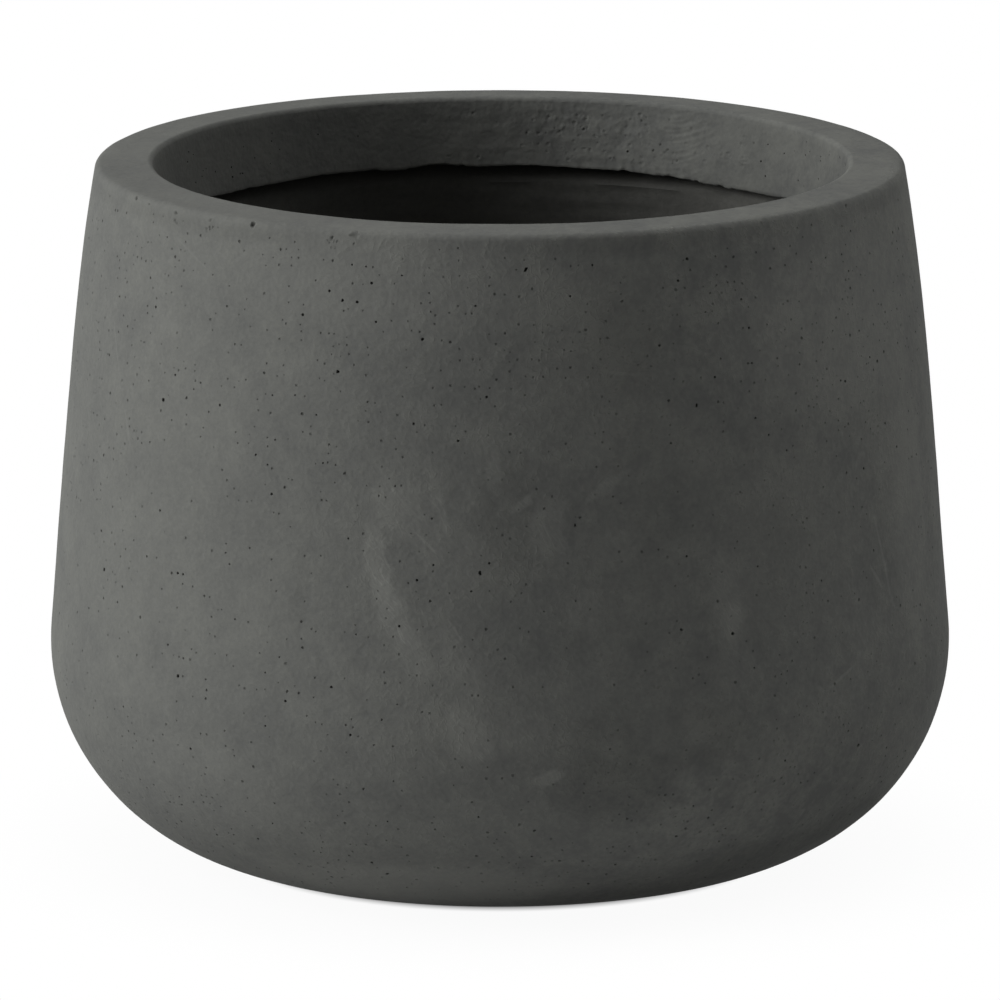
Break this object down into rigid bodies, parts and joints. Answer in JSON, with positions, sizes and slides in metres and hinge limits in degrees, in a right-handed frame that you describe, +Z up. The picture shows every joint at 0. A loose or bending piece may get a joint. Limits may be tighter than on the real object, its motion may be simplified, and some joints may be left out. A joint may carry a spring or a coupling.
{
  "type": "fibre-clay planter",
  "caption": "Round matte fibre-clay floor planter: bellied wall on a foot ring, broad rim with a thick lip turned down inside the mouth, drain hole with a rubber plug.",
  "frame": {"origin": "centre of the foot ring's underside, on the floor", "axes": "+Z up along the vessel's axis; X and Y are alike, because every piece is turned about Z"},
  "size_m": [0.3999, 0.4, 0.3113],
  "materials": {
    "fibre_clay_face": "cast and hand-rubbed, matte, pinholed",
    "fibre_clay_backing": "trowelled, rough, matte",
    "glass_mat": "chopped glass mat wetted out with slurry",
    "plug_rubber": "moulded, satin"
  },
  "bodies": {
    "vessel": {"face_base": "fibre_clay_face", "face_wall": "fibre_clay_face", "base_mat": "glass_mat", "wall_mat": "glass_mat", "backing_floor": "fibre_clay_backing", "backing_wall": "fibre_clay_backing", "rim_ring": "fibre_clay_face"},
    "plug": {"drain_plug": "plug_rubber"}
  },
  "joints": [
    {"name": "plug_lift", "type": "slide", "parent": "vessel", "child": "plug", "axis": [0, 0, 1], "range_m": [0, 0.33]}
  ]
}
